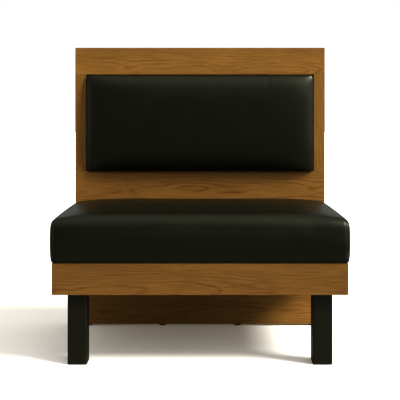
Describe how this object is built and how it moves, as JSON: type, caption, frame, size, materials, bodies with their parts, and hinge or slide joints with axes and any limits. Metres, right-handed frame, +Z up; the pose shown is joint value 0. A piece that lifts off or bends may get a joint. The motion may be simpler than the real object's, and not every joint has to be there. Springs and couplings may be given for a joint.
{
  "type": "booth seat",
  "caption": "Free-standing booth seat: high framed wooden back with an inset upholstered pad, and a thick lift-off cushion on a seat box with square steel front legs.",
  "frame": {"origin": "on the floor, at the centre of the whole seat's bounding box", "axes": "+X to the right as seen from the front, +Y from the front edge of the seat to the back, +Z up"},
  "size_m": [0.973, 0.6, 1.07],
  "materials": {
    "oak": "satin lacquered oak veneer",
    "pine": "planed softwood",
    "plywood": "sanded plywood",
    "vinyl": "satin black upholstery vinyl",
    "foam": "upholstery foam",
    "dust_cloth": "non-woven black cloth",
    "black_steel": "satin black powder coat",
    "zinc": "zinc plated",
    "black_plastic": "moulded black nylon"
  },
  "bodies": {
    "seat_frame": {"back_frame_dowels": "pine", "back_glide_1": "black_plastic", "back_glide_2": "black_plastic", "back_glide_3": "black_plastic", "back_glide_4": "black_plastic", "back_left_stile": "oak", "back_lower_panel": "oak", "back_rear_panel": "oak", "back_right_stile": "oak", "back_top_rail": "oak", "left_foot_cap": "black_plastic", "left_leg_plate": "black_steel", "left_leg_rail": "pine", "left_leg_tube": "black_steel", "leg_coach_screws": "zinc", "pad_board": "plywood", "pad_centre_batten": "pine", "pad_cover": "vinyl", "pad_foam": "foam", "pad_left_batten": "pine", "pad_right_batten": "pine", "pad_screws": "zinc", "rear_panel_screws": "zinc", "right_foot_cap": "black_plastic", "right_leg_plate": "black_steel", "right_leg_rail": "pine", "right_leg_tube": "black_steel", "seat_bolt_washers": "zinc", "seat_box_dowels": "pine", "seat_centre_rail": "pine", "seat_front_rail": "oak", "seat_left_rail": "oak", "seat_rear_rail": "pine", "seat_right_rail": "oak", "seat_to_back_bolts": "zinc", "threaded_sleeves": "zinc"},
    "seat_cushion": {"seat_cushion_cover": "vinyl", "seat_cushion_foam": "foam", "seat_board": "plywood", "seat_dust_cover": "dust_cloth", "front_left_locating_block": "pine", "front_right_locating_block": "pine", "rear_left_locating_block": "pine", "rear_right_locating_block": "pine", "locating_block_screws": "zinc"}
  },
  "joints": [
    {"name": "seat_lift", "type": "slide", "parent": "seat_frame", "child": "seat_cushion", "axis": [0, 0, 1], "range_m": [0, 0.09]}
  ]
}
